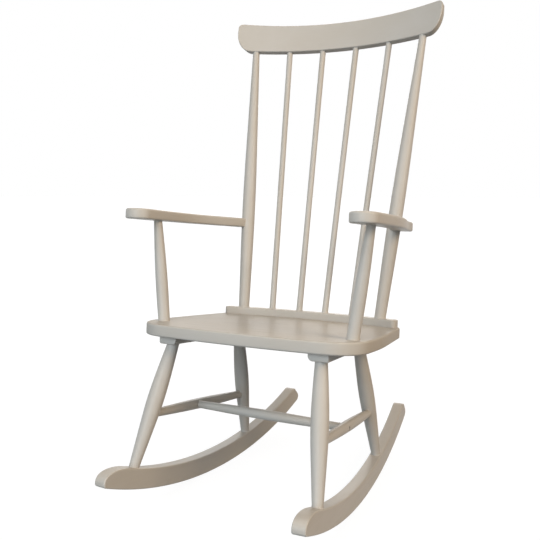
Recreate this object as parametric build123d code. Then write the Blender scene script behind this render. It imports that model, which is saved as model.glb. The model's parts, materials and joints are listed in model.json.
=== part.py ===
from build123d import *
from math import atan2, cos, degrees, radians, sin, sqrt
import os

# A painted spindle-back rocking chair, all sizes in millimetres.
# It is drawn on the bench with the seat level: Z = 0 on the seat top, Y = 0 on the line of the
# two arm supports, the front towards -Y and the sitter's left towards +X. The finished chair is
# then leaned back onto its rockers, to the angle at which it comes to rest by itself.

# Joints
glue_gap = 0.1              # radial clearance between a tenon and its mortise
mortise_relief = 1.0        # how much deeper a mortise is than its tenon
tenon_root = 8.0            # length of a tenon inside its own turning
end_overrun = 4.0           # spare length at the ends of a turning, cut to the board it meets

# Seat board
seat_thickness = 25.0
seat_front_reach = 80.0     # middle of the front edge, ahead of the arm supports
seat_front_half_width = 251.5
seat_widest_y = 85.0        # where the sides start to draw in
seat_rear_half_width = 226.0
seat_front_bow = 18.0       # how far the front edge bows out over its own width
seat_front_corner = 77.0
seat_rear_corner = 16.0
seat_edge_round = 4.0
seat_behind_rail = 5.0      # seat left showing behind the back rail

# Low rail on the rear of the seat, curved in plan
rail_apex_y = 299.5
rail_radius = 820.0
rail_half_length = 222.0
rail_height = 17.5
rail_thickness = 28.0
rail_edge_round = 2.0
rail_end_round = 5.0

# Crest rail, curved in plan, its ends swept up
crest_apex_y = 410.0
crest_bottom_z = 688.0      # of its lower edge in the middle
crest_radius = 820.0
crest_lean_angle = 8.0      # degrees
crest_height = 72.0
crest_end_rise = 5.0
crest_half_length = 278.0
crest_thickness = 21.0
crest_edge_round = 2.5
crest_top_corner = 12.0
crest_sweep_width = 36.0    # of the large rounding at each lower end
crest_sweep_height = 52.0

# Back posts
post_foot_x = 179.0
post_head_x = 228.8
post_foot_diameter = 26.0
post_belly_diameter = 32.5
post_belly_height = 255.0   # above the seat
post_head_diameter = 17.5
post_tenon_diameter = 14.0
post_foot_tenon = 36.0      # through the rail and into the seat
post_head_tenon = 34.0

# Spindles
inner_spindle_foot_x = 34.0
outer_spindle_foot_x = 105.0
inner_spindle_head_x = 46.0
outer_spindle_head_x = 137.5
spindle_end_diameter = 15.0
spindle_middle_diameter = 14.2
spindle_tenon_diameter = 11.0
spindle_foot_tenon = 13.0
spindle_head_tenon = 26.0

# Arms and their supports
arm_thickness = 22.0
arm_underside_z = 219.0
arm_pad_x = 255.0           # centre of the round front pad
arm_pad_y = -57.0
arm_pad_radius = 29.0
arm_waist_x = 250.0
arm_waist_y = 150.0
arm_waist_width = 42.0
arm_tail_round = 16.0
arm_tail_width = 41.0       # outwards from the post's axis
arm_tail_inset = 10.0       # inwards from it, so that the bore breaks out on the inside
arm_tail_reach = 25.0       # behind the post's axis
arm_top_round = 5.0
arm_bottom_round = 4.0
support_foot_x = 219.5
support_head_x = 248.0
support_foot_diameter = 25.0
support_belly_diameter = 26.5
support_belly_share = 0.34
support_head_diameter = 18.0
support_tenon_diameter = 13.0
support_foot_tenon = 19.0
support_head_tenon = 15.0

# Battens under the seat
batten_width = 42.0
batten_thickness = 16.5
batten_front_overhang = 20.0    # ahead of the front leg's axis
batten_rear_overhang = 24.0
batten_edge_round = 3.0
batten_inner_round = 9.0    # along the lower edge that faces the other batten

# Legs
front_leg_top_x = 170.0
front_leg_top_y = -32.0
front_leg_foot_y = -103.0
rear_leg_top_x = 154.0
rear_leg_top_y = 215.0
rear_leg_foot_y = 302.0
leg_top_diameter = 24.5
leg_belly_diameter = 34.5
leg_belly_share = 0.47
leg_foot_diameter = 21.0
leg_tenon_diameter = 15.0
leg_top_tenon = 13.0
leg_foot_tenon = 24.0

# Rockers
rocker_radius = 970.0
rocker_center_y = 119.0
rocker_center_z = 614.0
rocker_height = 41.0
rocker_thickness = 27.0
rocker_spacing_x = 196.0    # half the spacing at Y = 0
rocker_toe = 0.074          # how much each rocker turns in, per millimetre backwards
rocker_nose_y = -197.0
rocker_tail_y = 558.0
rocker_nose_width = 72.0    # of the long rounding over the nose
rocker_nose_height = 33.0
rocker_toe_corner = 5.0     # at the bottom of the nose
rocker_tail_corner = 8.0
rocker_edge_round = 2.5

# Stretchers
stretcher_drop_front = 184.0    # side stretcher's axis below the seat top, at the front leg
stretcher_drop_rear = 196.0
stretcher_end_diameter = 17.0
stretcher_belly_diameter = 23.0
side_tenon_diameter = 12.0
side_tenon = 14.0
cross_end_diameter = 16.0
cross_belly_diameter = 21.0
cross_tenon_diameter = 11.0
cross_tenon = 12.0
cross_share = 0.45          # where the cross stretcher meets the side ones, from the front

# Screws
screw_diameter = 4.0
screw_head_diameter = 8.0
screw_head_height = 2.6
screw_sink = 1.5            # depth of a screw's head below the surface
batten_screw_length = 34.0
rail_screw_length = 36.0
rail_screw_spacing = 70.0
arm_screw_length = 28.0
stretcher_screw_length = 38.0

# Degrees in a quarter of a turn
quarter_turn = 90

# Weight of steel against the same volume of beech, for the balance on the rockers
steel_to_wood = 11.0


def arc_y(apex, radius, x):
    # a plan arc with its middle at the back and its ends coming forward
    return apex - radius + sqrt(radius ** 2 - x ** 2)


def between(start, end, share):
    return tuple(a + (b - a) * share for a, b in zip(start, end))


def stepped_in(start, end, distance):
    # the point a distance from start, towards end; a negative distance lies beyond start
    return between(start, end, distance / (Vector(*end) - Vector(*start)).length)


def at_height(start, end, z):
    return between(start, end, (z - start[2]) / (end[2] - start[2]))


def placed(solid, start, end):
    # stands a solid drawn along +Z on the line from start to end
    return Plane(origin=start, z_dir=Vector(*end) - Vector(*start)).location * solid


def both_sides(solid):
    return [solid, mirror(solid, Plane.YZ)]


def turned(start, end, stations, curve=Spline):
    # a turning between two points, run on a little past both for its ends to be fitted;
    # stations are (share of the length, diameter), and the curve runs through them
    length = (Vector(*end) - Vector(*start)).length
    points = [(diameter / 2, share * length) for share, diameter in stations]
    low, high = (points[0][0], -end_overrun), (points[-1][0], length + end_overrun)
    outline = [
        Line((0, low[1]), low),
        Line(low, points[0]),
        curve(*points),
        Line(points[-1], high),
        Line(high, (0, high[1])),
        Line((0, high[1]), (0, low[1])),
    ]
    return placed(revolve(Plane.XZ * make_face(outline), Axis.Z), start, end)


def dowel(start, end, diameter, length):
    # a round tenon from inside a turning's end at start, away from its other end
    rod = Cylinder(diameter / 2, length + tenon_root, align=(Align.CENTER, Align.CENTER, Align.MIN))
    return placed(Pos(0, 0, -length) * rod, start, end)


def mortise(start, end, diameter, length):
    # the bore for that tenon
    return dowel(start, end, diameter + 2 * glue_gap, length + mortise_relief)


def tenoned(body, start, end, boards, diameter, start_length, end_length):
    # cuts a turning to the boards it meets and adds its two tenons
    for board in boards:
        body -= board
    return body + dowel(start, end, diameter, start_length) + dowel(end, start, diameter, end_length)


def seat_board():
    rear_y = rail_apex_y + rail_thickness / 2 + seat_behind_rail
    rear_radius = rail_radius + rail_thickness / 2 + seat_behind_rail
    front_y = -seat_front_reach
    side_y = front_y + seat_front_bow
    corner_y = arc_y(rear_y, rear_radius, seat_rear_half_width)
    front, rear = seat_front_half_width, seat_rear_half_width
    outline = [
        ThreePointArc((-front, side_y), (0, front_y), (front, side_y)),
        Line((front, side_y), (front, seat_widest_y)),
        Line((front, seat_widest_y), (rear, corner_y)),
        ThreePointArc((rear, corner_y), (0, rear_y), (-rear, corner_y)),
        Line((-rear, corner_y), (-front, seat_widest_y)),
        Line((-front, seat_widest_y), (-front, side_y)),
    ]
    face = make_face(outline)
    corners = face.vertices().group_by(Axis.Y)
    face = fillet(corners[0], seat_front_corner)
    face = fillet(face.vertices().group_by(Axis.Y)[-1], seat_rear_corner)
    board = Pos(0, 0, -seat_thickness) * extrude(face, seat_thickness)
    rims = board.faces().sort_by(Axis.Z)
    return fillet(rims[0].edges() + rims[-1].edges(), seat_edge_round)


def curved_board(apex, radius, thickness, half_length, height):
    # a board of even thickness bent to a plan arc, standing on Z = 0
    half = thickness / 2
    back_y, front_y = apex + half, apex - half
    back_end = (half_length, arc_y(back_y, radius + half, half_length))
    front_end = (half_length, arc_y(front_y, radius - half, half_length))
    outline = [
        ThreePointArc((-half_length, back_end[1]), (0, back_y), back_end),
        Line(back_end, front_end),
        ThreePointArc(front_end, (0, front_y), (-half_length, front_end[1])),
        Line((-half_length, front_end[1]), (-half_length, back_end[1])),
    ]
    return extrude(make_face(outline), height)


def rail_board():
    board = curved_board(rail_apex_y, rail_radius, rail_thickness, rail_half_length, rail_height)
    board = fillet(board.edges().filter_by(Axis.Z), rail_end_round)
    return fillet(board.faces().sort_by(Axis.Z)[-1].edges(), rail_edge_round)


def below_rail_top():
    # all the room under the level of the rail's top, on which the posts and spindles stand
    width, depth = 2 * seat_front_half_width, 4 * rail_apex_y
    return Pos(0, 0, rail_height) * Box(width, depth, seat_thickness + rail_height,
                                        align=(Align.CENTER, Align.CENTER, Align.MAX))


def crest_place():
    return Pos(0, crest_apex_y, crest_bottom_z) * Rot(-crest_lean_angle, 0, 0)


def crest_point(x):
    # where the crest's middle line meets its lower edge, above a distance x from the centre
    back = arc_y(0, crest_radius, x)
    lean = radians(crest_lean_angle)
    return (x, crest_apex_y + back * cos(lean), crest_bottom_z - back * sin(lean))


def crest_board():
    end_height = crest_height + crest_end_rise
    half = crest_half_length
    sweep_x = half - crest_sweep_width
    sweep = EllipticalCenterArc((sweep_x, crest_sweep_height), crest_sweep_width,
                                crest_sweep_height, start_angle=270, arc_size=quarter_turn)
    outline = [
        Line((-sweep_x, 0), (sweep_x, 0)),
        sweep,
        Line((half, crest_sweep_height), (half, end_height)),
        ThreePointArc((half, end_height), (0, crest_height), (-half, end_height)),
        Line((-half, end_height), (-half, crest_sweep_height)),
        mirror(sweep, Plane.YZ),
    ]
    face = make_face(outline)
    face = fillet(face.vertices().group_by(Axis.Y)[-1], crest_top_corner)
    front_view = extrude(Plane.XZ * face, crest_radius / 2, both=True)
    board = curved_board(0, crest_radius, crest_thickness, half + end_overrun, end_height + end_overrun)
    board = board & front_view
    rims = board.faces().filter_by(GeomType.CYLINDER).sort_by(SortBy.AREA)[-2:]
    return crest_place() * fillet(rims[0].edges() + rims[1].edges(), crest_edge_round)


def batten_line():
    # unit vector along a batten, from the front leg to the rear one
    dx, dy = rear_leg_top_x - front_leg_top_x, rear_leg_top_y - front_leg_top_y
    return Vector(dx, dy).normalized()


def batten_board():
    along = batten_line()
    bottom = -seat_thickness - batten_thickness
    plane = Plane(origin=(front_leg_top_x, front_leg_top_y, bottom), x_dir=along, z_dir=(0, 0, 1))
    legs_apart = Vector(rear_leg_top_x - front_leg_top_x, rear_leg_top_y - front_leg_top_y).length
    length = batten_front_overhang + legs_apart + batten_rear_overhang
    board = Box(length, batten_width, batten_thickness, align=(Align.MIN, Align.CENTER, Align.MIN))
    low_edges = board.edges().filter_by(Axis.X).group_by(Axis.Z)[0].sort_by(Axis.Y)
    board = fillet(low_edges[-1], batten_inner_round)
    low_edges = board.edges().filter_by(Axis.X).group_by(Axis.Z)[0].sort_by(Axis.Y)
    ends = board.faces().sort_by(Axis.Z)[0].edges().filter_by(Axis.Y)
    board = fillet([low_edges[0]] + ends, batten_edge_round)
    return plane.location * Pos(-batten_front_overhang, 0, 0) * board


def rocker_plane():
    return Plane(origin=(rocker_spacing_x, 0, 0), x_dir=(-rocker_toe, 1, 0), z_dir=(1, rocker_toe, 0))


def rocker_board():
    stretch = sqrt(1 + rocker_toe ** 2)
    middle = rocker_center_y * stretch
    inner_radius = rocker_radius - rocker_height

    def on_arc(radius, along):
        # a point of an arc about the rocker's centre, at a distance along the rocker
        s = along - middle
        return (along, rocker_center_z - sqrt(radius ** 2 - s ** 2))

    nose, tail = rocker_nose_y * stretch, rocker_tail_y * stretch
    lean = (tail - middle) / rocker_radius
    tail_top = middle + inner_radius * lean
    low_nose, low_tail = on_arc(rocker_radius, nose), on_arc(rocker_radius, tail)
    high_tail = (tail_top, on_arc(inner_radius, tail_top)[1])
    shoulder = nose + rocker_nose_width
    high_nose = on_arc(inner_radius, shoulder)
    lip = (nose, low_nose[1] + rocker_height - rocker_nose_height)
    slope = (shoulder - middle) / (rocker_center_z - high_nose[1])
    outline = [
        ThreePointArc(low_nose, on_arc(rocker_radius, middle), low_tail),
        Line(low_tail, high_tail),
        ThreePointArc(high_tail, on_arc(inner_radius, middle), high_nose),
        Spline(high_nose, lip, tangents=[(-1, -slope), (-0.12, -1)]),
        Line(lip, low_nose),
    ]
    face = make_face(outline)
    face = fillet(face.vertices().sort_by(Axis.X)[-2:], rocker_tail_corner)
    face = fillet(face.vertices().sort_by_distance((low_nose[0], low_nose[1], 0))[0], rocker_toe_corner)
    board = extrude(rocker_plane() * face, rocker_thickness / 2, both=True)
    sides = board.faces().filter_by(GeomType.PLANE).sort_by(SortBy.AREA)[-2:]
    return fillet(sides[0].edges() + sides[1].edges(), rocker_edge_round)


def rocker_top_point(y):
    reach = rocker_radius - rocker_height
    x = rocker_spacing_x - rocker_toe * y
    return (x, y, rocker_center_z - sqrt(reach ** 2 - (y - rocker_center_y) ** 2))


def arm_board(post_axis_x, post_axis_y):
    pad = Vector(arm_pad_x, arm_pad_y)
    outer_start = pad + Vector(arm_pad_radius, 0)
    inner_start = pad - Vector(arm_pad_radius, 0)
    outer_waist = (arm_waist_x + arm_waist_width / 2, arm_waist_y)
    inner_waist = (arm_waist_x - arm_waist_width / 2, arm_waist_y)
    tail_y = post_axis_y + arm_tail_reach
    outer_end = (post_axis_x + arm_tail_width, tail_y)
    inner_end = (post_axis_x - arm_tail_inset, tail_y)
    outline = [
        ThreePointArc(inner_start, pad - Vector(0, arm_pad_radius), outer_start),
        Spline(outer_start, outer_waist, outer_end, tangents=[(0, 1), (0, 1)]),
        Line(outer_end, inner_end),
        Spline(inner_end, inner_waist, inner_start, tangents=[(0, -1), (0, -1)]),
    ]
    face = make_face(outline)
    rear = face.vertices().group_by(Axis.Y)[-1].sort_by(Axis.X)
    face = fillet(rear[-1], arm_tail_round)
    face = fillet(face.vertices().group_by(Axis.Y)[-1].sort_by(Axis.X)[0], arm_tail_round / 3)
    board = Pos(0, 0, arm_underside_z) * extrude(face, arm_thickness)
    faces = board.faces().sort_by(Axis.Z)
    board = fillet(faces[-1].edges(), arm_top_round)
    return fillet(board.faces().sort_by(Axis.Z)[0].edges(), arm_bottom_round)


def leg_body(top, foot):
    return turned(top, foot, [
        (0, leg_top_diameter),
        (leg_belly_share / 2, (leg_top_diameter + 2.4 * leg_belly_diameter) / 3.4),
        (leg_belly_share, leg_belly_diameter),
        ((1 + leg_belly_share) / 2, (leg_foot_diameter + 1.3 * leg_belly_diameter) / 2.3),
        (1, leg_foot_diameter),
    ])


def post_body(foot, head):
    belly = (post_belly_height - foot[2]) / (head[2] - foot[2])
    return turned(foot, head, [
        (0, post_foot_diameter),
        (belly / 2, (post_foot_diameter + 1.6 * post_belly_diameter) / 2.6),
        (belly, post_belly_diameter),
        ((1 + belly) / 2, (post_head_diameter + 1.6 * post_belly_diameter) / 2.6),
        (1, post_head_diameter),
    ])


def swelling(start, end, start_diameter, belly_diameter, end_diameter, belly_share=0.5):
    # a turning that swells along one arc
    stations = [(0, start_diameter), (belly_share, belly_diameter), (1, end_diameter)]
    return turned(start, end, stations, ThreePointArc)


def waisted(start, end, end_diameter, middle_diameter):
    # a turning drawn in slightly along its middle
    return turned(start, end, [(0, end_diameter), (0.5, middle_diameter), (1, end_diameter)])


def screw(head, point, length):
    shank = Cylinder(screw_diameter / 2, length, align=(Align.CENTER, Align.CENTER, Align.MIN))
    cone = Cone(screw_head_diameter / 2, screw_diameter / 2, screw_head_height,
                align=(Align.CENTER, Align.CENTER, Align.MIN))
    return placed(shank + cone, head, point)


def screw_hole(head, point, length):
    # the hole for that screw, with a mouth over its sunk head
    gap = glue_gap
    shank = Cylinder(screw_diameter / 2 + gap, length + gap, align=(Align.CENTER, Align.CENTER, Align.MIN))
    cone = Cone(screw_head_diameter / 2 + gap, screw_diameter / 2 + gap, screw_head_height,
                align=(Align.CENTER, Align.CENTER, Align.MIN))
    mouth = Cylinder(screw_head_diameter / 2 + gap, screw_head_diameter,
                     align=(Align.CENTER, Align.CENTER, Align.MAX))
    return placed(shank + cone + mouth, head, point)


# Axes of the turned pieces, on the +X side
def rail_point(x):
    return (x, arc_y(rail_apex_y, rail_radius, x), rail_height)


batten_underside = -seat_thickness - batten_thickness
post_foot, post_head = rail_point(post_foot_x), crest_point(post_head_x)
post_at_arm = at_height(post_foot, post_head, arm_underside_z + arm_thickness / 2)
support_foot, support_head = (support_foot_x, 0, 0), (support_head_x, 0, arm_underside_z)
front_top = (front_leg_top_x, front_leg_top_y, batten_underside)
rear_top = (rear_leg_top_x, rear_leg_top_y, batten_underside)
front_foot, rear_foot = rocker_top_point(front_leg_foot_y), rocker_top_point(rear_leg_foot_y)
front_knee = at_height(front_top, front_foot, -stretcher_drop_front)
rear_knee = at_height(rear_top, rear_foot, -stretcher_drop_rear)
side_start = stepped_in(front_knee, rear_knee, leg_belly_diameter / 2)
side_end = stepped_in(rear_knee, front_knee, leg_belly_diameter / 2)
cross_node = between(front_knee, rear_knee, cross_share)
cross_start = (cross_node[0] - stretcher_belly_diameter / 2, cross_node[1], cross_node[2])
cross_end = (-cross_start[0], cross_start[1], cross_start[2])

# Boards, before anything is bored
seat, rail, crest = seat_board(), rail_board(), crest_board()
rail_level = below_rail_top()
batten, rocker = batten_board(), rocker_board()
arm = arm_board(post_at_arm[0], post_at_arm[1])

# Turnings, their ends cut to what they meet; all but the cross stretcher on the +X side
post_plain = post_body(post_foot, post_head)
post = tenoned(post_plain, post_foot, post_head, [rail_level, crest],
               post_tenon_diameter, post_foot_tenon, post_head_tenon)
support = tenoned(swelling(support_foot, support_head, support_foot_diameter, support_belly_diameter,
                           support_head_diameter, support_belly_share),
                  support_foot, support_head, [seat, arm],
                  support_tenon_diameter, support_foot_tenon, support_head_tenon)
front_plain, rear_plain = leg_body(front_top, front_foot), leg_body(rear_top, rear_foot)
front_leg = tenoned(front_plain, front_top, front_foot, [batten, rocker],
                    leg_tenon_diameter, leg_top_tenon, leg_foot_tenon)
rear_leg = tenoned(rear_plain, rear_top, rear_foot, [batten, rocker],
                   leg_tenon_diameter, leg_top_tenon, leg_foot_tenon)
side_plain = swelling(side_start, side_end, stretcher_end_diameter, stretcher_belly_diameter,
                      stretcher_end_diameter)
side_stretcher = tenoned(side_plain, side_start, side_end, [front_plain, rear_plain],
                         side_tenon_diameter, side_tenon, side_tenon)
cross_plain = swelling(cross_start, cross_end, cross_end_diameter, cross_belly_diameter,
                       cross_end_diameter)
cross_stretcher = tenoned(cross_plain, cross_start, cross_end, both_sides(side_plain),
                          cross_tenon_diameter, cross_tenon, cross_tenon)
spindles = {}
spindle_axes = {}
for name, foot_x, head_x in (("inner", inner_spindle_foot_x, inner_spindle_head_x),
                             ("outer", outer_spindle_foot_x, outer_spindle_head_x)):
    foot, head = rail_point(foot_x), crest_point(head_x)
    spindle_axes[name] = (foot, head)
    plain = waisted(foot, head, spindle_end_diameter, spindle_middle_diameter)
    spindles[name] = tenoned(plain, foot, head, [rail_level, crest], spindle_tenon_diameter,
                             spindle_foot_tenon, spindle_head_tenon)

# Mortises
for foot, head in spindle_axes.values():
    for bore in both_sides(mortise(foot, head, spindle_tenon_diameter, spindle_foot_tenon)):
        rail -= bore
    for bore in both_sides(mortise(head, foot, spindle_tenon_diameter, spindle_head_tenon)):
        crest -= bore
for bore in both_sides(mortise(post_foot, post_head, post_tenon_diameter, post_foot_tenon)):
    rail -= bore
    seat -= bore
for bore in both_sides(mortise(post_head, post_foot, post_tenon_diameter, post_head_tenon)):
    crest -= bore
for bore in both_sides(mortise(support_foot, support_head, support_tenon_diameter, support_foot_tenon)):
    seat -= bore
arm -= mortise(support_head, support_foot, support_tenon_diameter, support_head_tenon)
arm_bore = Cylinder(post_belly_diameter / 2 + glue_gap, 4 * arm_thickness)
arm -= placed(arm_bore, post_at_arm, post_head)
for top, foot in ((front_top, front_foot), (rear_top, rear_foot)):
    batten -= mortise(top, foot, leg_tenon_diameter, leg_top_tenon)
    rocker -= mortise(foot, top, leg_tenon_diameter, leg_foot_tenon)
front_leg -= mortise(side_start, side_end, side_tenon_diameter, side_tenon)
rear_leg -= mortise(side_end, side_start, side_tenon_diameter, side_tenon)
side_stretcher -= mortise(cross_start, cross_end, cross_tenon_diameter, cross_tenon)

# Screws: up through the battens into the seat, up through the seat into the rail, forward
# through each arm's tail into the post, and through the side stretchers into the cross one
screw_groups = {"batten_screws": [], "rail_screws": [], "arm_screws": [], "stretcher_screws": []}
for share in (0.2, 0.5, 0.8):
    x, y, z = between(front_top, rear_top, share)
    head, point = (x, y, z + screw_sink), (x, y, 0)
    hole = screw_hole(head, point, batten_screw_length)
    batten -= hole
    for bore in both_sides(hole):
        seat -= bore
    screw_groups["batten_screws"] += both_sides(screw(head, point, batten_screw_length))
for step in (-2, -1, 0, 1, 2):
    x, y, _ = rail_point(step * rail_screw_spacing)
    head, point = (x, y, screw_sink - seat_thickness), (x, y, 0)
    hole = screw_hole(head, point, rail_screw_length)
    seat -= hole
    rail -= hole
    screw_groups["rail_screws"].append(screw(head, point, rail_screw_length))
x, y, z = post_at_arm
head = (x, y + arm_tail_reach - screw_sink, z)
arm -= screw_hole(head, post_at_arm, arm_screw_length)
post -= screw_hole(head, post_at_arm, arm_screw_length)
screw_groups["arm_screws"] = both_sides(screw(head, post_at_arm, arm_screw_length))
head = (cross_node[0] + stretcher_belly_diameter / 2 - screw_sink, cross_node[1], cross_node[2])
hole = screw_hole(head, cross_node, stretcher_screw_length)
side_stretcher -= hole
for bore in both_sides(hole):
    cross_stretcher -= bore
screw_groups["stretcher_screws"] = both_sides(screw(head, cross_node, stretcher_screw_length))

# Every piece by name; the sitter's left is +X
pieces = {"seat": seat, "back_rail": rail, "crest_rail": crest, "cross_stretcher": cross_stretcher}
for name, solid in (("seat_batten", batten), ("rocker", rocker), ("front_leg", front_leg),
                    ("rear_leg", rear_leg), ("side_stretcher", side_stretcher), ("back_post", post),
                    ("arm_support", support), ("arm", arm), ("inner_spindle", spindles["inner"]),
                    ("outer_spindle", spindles["outer"])):
    pieces["left_" + name], pieces["right_" + name] = both_sides(solid)

# The chair comes to rest with its centre of gravity below the centre of the rockers' arc
weighed = [(solid, 1.0) for solid in pieces.values()]
weighed += [(solid, steel_to_wood) for group in screw_groups.values() for solid in group]
weight = sum(solid.volume * density for solid, density in weighed)
balance_y = sum(solid.center(CenterOf.MASS).Y * solid.volume * d for solid, d in weighed) / weight
balance_z = sum(solid.center(CenterOf.MASS).Z * solid.volume * d for solid, d in weighed) / weight
rest_lean = degrees(atan2(balance_y - rocker_center_y, rocker_center_z - balance_z))
for name, group in screw_groups.items():
    pieces[name] = Compound(group)
leaned = {name: Rot(-rest_lean, 0, 0) * solid for name, solid in pieces.items()}
box = Compound(list(leaned.values())).bounding_box()
home = Pos(0, -(box.min.Y + box.max.Y) / 2, -box.min.Z)
print(f"rest lean {rest_lean:.2f} degrees, size {box.size.X:.1f} x {box.size.Y:.1f} x {box.size.Z:.1f} mm")

os.makedirs("parts", exist_ok=True)
for name, solid in leaned.items():
    export_step(home * solid, f"parts/{name}.step")
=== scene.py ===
import json

import bpy
import numpy as np
from mathutils import Matrix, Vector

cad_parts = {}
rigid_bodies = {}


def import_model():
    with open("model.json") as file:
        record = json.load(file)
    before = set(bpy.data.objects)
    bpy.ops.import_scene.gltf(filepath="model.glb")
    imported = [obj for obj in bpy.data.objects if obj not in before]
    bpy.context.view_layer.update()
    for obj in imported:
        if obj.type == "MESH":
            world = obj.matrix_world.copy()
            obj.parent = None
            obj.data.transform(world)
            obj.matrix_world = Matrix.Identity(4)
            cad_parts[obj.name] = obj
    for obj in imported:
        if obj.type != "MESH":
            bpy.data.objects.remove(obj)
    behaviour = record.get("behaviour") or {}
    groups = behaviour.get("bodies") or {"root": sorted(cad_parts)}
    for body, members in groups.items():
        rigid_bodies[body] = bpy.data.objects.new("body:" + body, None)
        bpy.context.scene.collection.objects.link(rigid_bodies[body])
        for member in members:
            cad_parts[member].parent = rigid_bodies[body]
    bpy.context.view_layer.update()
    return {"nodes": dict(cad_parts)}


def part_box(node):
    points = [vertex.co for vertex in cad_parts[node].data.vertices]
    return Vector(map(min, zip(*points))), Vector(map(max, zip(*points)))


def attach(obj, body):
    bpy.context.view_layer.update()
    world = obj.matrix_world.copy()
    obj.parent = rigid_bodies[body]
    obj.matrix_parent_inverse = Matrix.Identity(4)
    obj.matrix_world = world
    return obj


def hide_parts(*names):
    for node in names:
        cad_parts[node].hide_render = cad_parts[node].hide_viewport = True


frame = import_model()
print("frame loaded,", len(frame["nodes"]), "nodes")

# Sizes are in millimetres on the bench, where the seat is level: Z = 0 on the seat top, Y = 0 on
# the line of the arm supports, the front towards -Y and the sitter's left at +X. Pieces are leaned
# back when they are made.
bench = {"restLean": 5.2334, "forward": -153.473, "lift": 369.466}
hands = ((1, "left"), (-1, "right"))
upright = (0, 0, 1)


def onFloor(points):
    # turned back about X by the rest lean, then moved to its place on the floor, in metres
    lean = np.radians(bench["restLean"])
    x, y, z = np.moveaxis(np.asarray(points, float), -1, 0)
    leaned = np.stack([x, y * np.cos(lean) + z * np.sin(lean), z * np.cos(lean) - y * np.sin(lean)], -1)
    return (leaned + (0, bench["forward"], bench["lift"])) / 1000


def mirrored(points, side):
    # as given for the left hand (1), with X turned over for the right hand (-1)
    return np.asarray(points, float) * (side, 1, 1)


def unit(vector):
    return np.asarray(vector, float) / np.linalg.norm(vector)


# Outlines are drawn with many points, of which spaced() then keeps as many as the mesh needs
def splineThrough(knots, count, startSlope=None, endSlope=None):
    # cubic curve through the knots, its parameter the chord length; each inner slope balances its
    # neighbours, an end has the slope given or no curvature
    knots = np.array(knots, float)
    step = np.linalg.norm(np.diff(knots, axis=0), axis=1)
    rise = np.diff(knots, axis=0) / step[:, None]
    last = len(knots) - 1
    system, right = np.zeros((last + 1, last + 1)), np.zeros_like(knots)
    inner = np.arange(1, last)
    system[inner, inner - 1] = 1 / step[:-1]
    system[inner, inner] = 2 / step[:-1] + 2 / step[1:]
    system[inner, inner + 1] = 1 / step[1:]
    right[1:-1] = 3 * (rise[:-1] / step[:-1, None] + rise[1:] / step[1:, None])
    ends = ((0, 1, startSlope, rise[0]), (last, last - 1, endSlope, rise[-1]))
    for end, beside, slope, edgeRise in ends:
        system[end, end] = 1 if slope is not None else 2
        system[end, beside] = 0 if slope is not None else 1
        right[end] = unit(slope) if slope is not None else 3 * edgeRise
    slopes = np.linalg.solve(system, right)
    along = np.concatenate([[0], np.cumsum(step)])
    at = np.linspace(0, along[-1], count)
    k = np.clip(np.searchsorted(along, at, side="right") - 1, 0, last - 1)
    t = ((at - along[k]) / step[k])[:, None]
    h = step[k][:, None]
    return (knots[k] * (1 - t) ** 2 * (1 + 2 * t) + slopes[k] * h * t * (1 - t) ** 2
            + knots[k + 1] * t ** 2 * (3 - 2 * t) - slopes[k + 1] * h * t ** 2 * (1 - t))


def straight(start, end, count):
    # point = start * (1 - share) + end * share
    share = np.linspace(0, 1, count)[:, None]
    return np.array(start, float) * (1 - share) + np.array(end, float) * share


def bowed(start, middle, end, count):
    # circle through three points: its centre is as far from the first as from the other two
    a, b, c = (np.array(point, float) for point in (start, middle, end))
    centre = np.linalg.solve(2 * np.array([b - a, c - a]), [b @ b - a @ a, c @ c - a @ a])
    angles = np.unwrap([np.arctan2(*(point - centre)[::-1]) for point in (a, b, c)])
    angle = np.linspace(angles[0], angles[2], count)
    return centre + np.linalg.norm(a - centre) * np.stack([np.cos(angle), np.sin(angle)], -1)


def ellipseArc(centre, radii, fromDegrees, toDegrees, count):
    # point = centre + radii * (cosine, sine)
    angle = np.radians(np.linspace(fromDegrees, toDegrees, count))
    return np.array(centre) + np.array(radii) * np.stack([np.cos(angle), np.sin(angle)], -1)


def planArc(apex, radius, x):
    # y = apex - radius + square root of (radius squared - x squared), so the ends come forward
    return apex - radius + np.sqrt(radius ** 2 - np.asarray(x, float) ** 2)


def leftward(curve):
    # unit normals to the left of the direction of travel
    along = np.gradient(curve, axis=0)
    along = along / np.linalg.norm(along, axis=1)[:, None]
    return np.stack([-along[:, 1], along[:, 0]], -1)


def roundedCorner(first, second, radius):
    # the rounding's centre lies where both sides, moved in by its radius, cross each other; the
    # sides are cut at its feet, and half of the arc goes to each
    if radius == 0:
        return first, second
    a, b = first + leftward(first) * radius, second + leftward(second) * radius
    apart = np.linalg.norm(a[:, None] - b[None], axis=2)
    i, j = np.unravel_index(apart.argmin(), apart.shape)
    centre = (a[i] + b[j]) / 2
    start, end = first[i] - centre, second[j] - centre
    turn = np.arctan2(start[0] * end[1] - start[1] * end[0], start @ end)
    middle = 20
    angle = np.arctan2(start[1], start[0]) + np.linspace(0, turn, 2 * middle + 1)
    arc = centre + radius * np.stack([np.cos(angle), np.sin(angle)], -1)
    return np.vstack([first[:i], arc[:middle + 1]]), np.vstack([arc[middle:], second[j + 1:]])


def roundedSides(sides, radii):
    # radii[k] rounds the corner between side k and the next one
    sides = list(sides)
    for k, radius in enumerate(radii):
        after = (k + 1) % len(sides)
        sides[k], sides[after] = roundedCorner(sides[k], sides[after], radius)
    return sides


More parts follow.
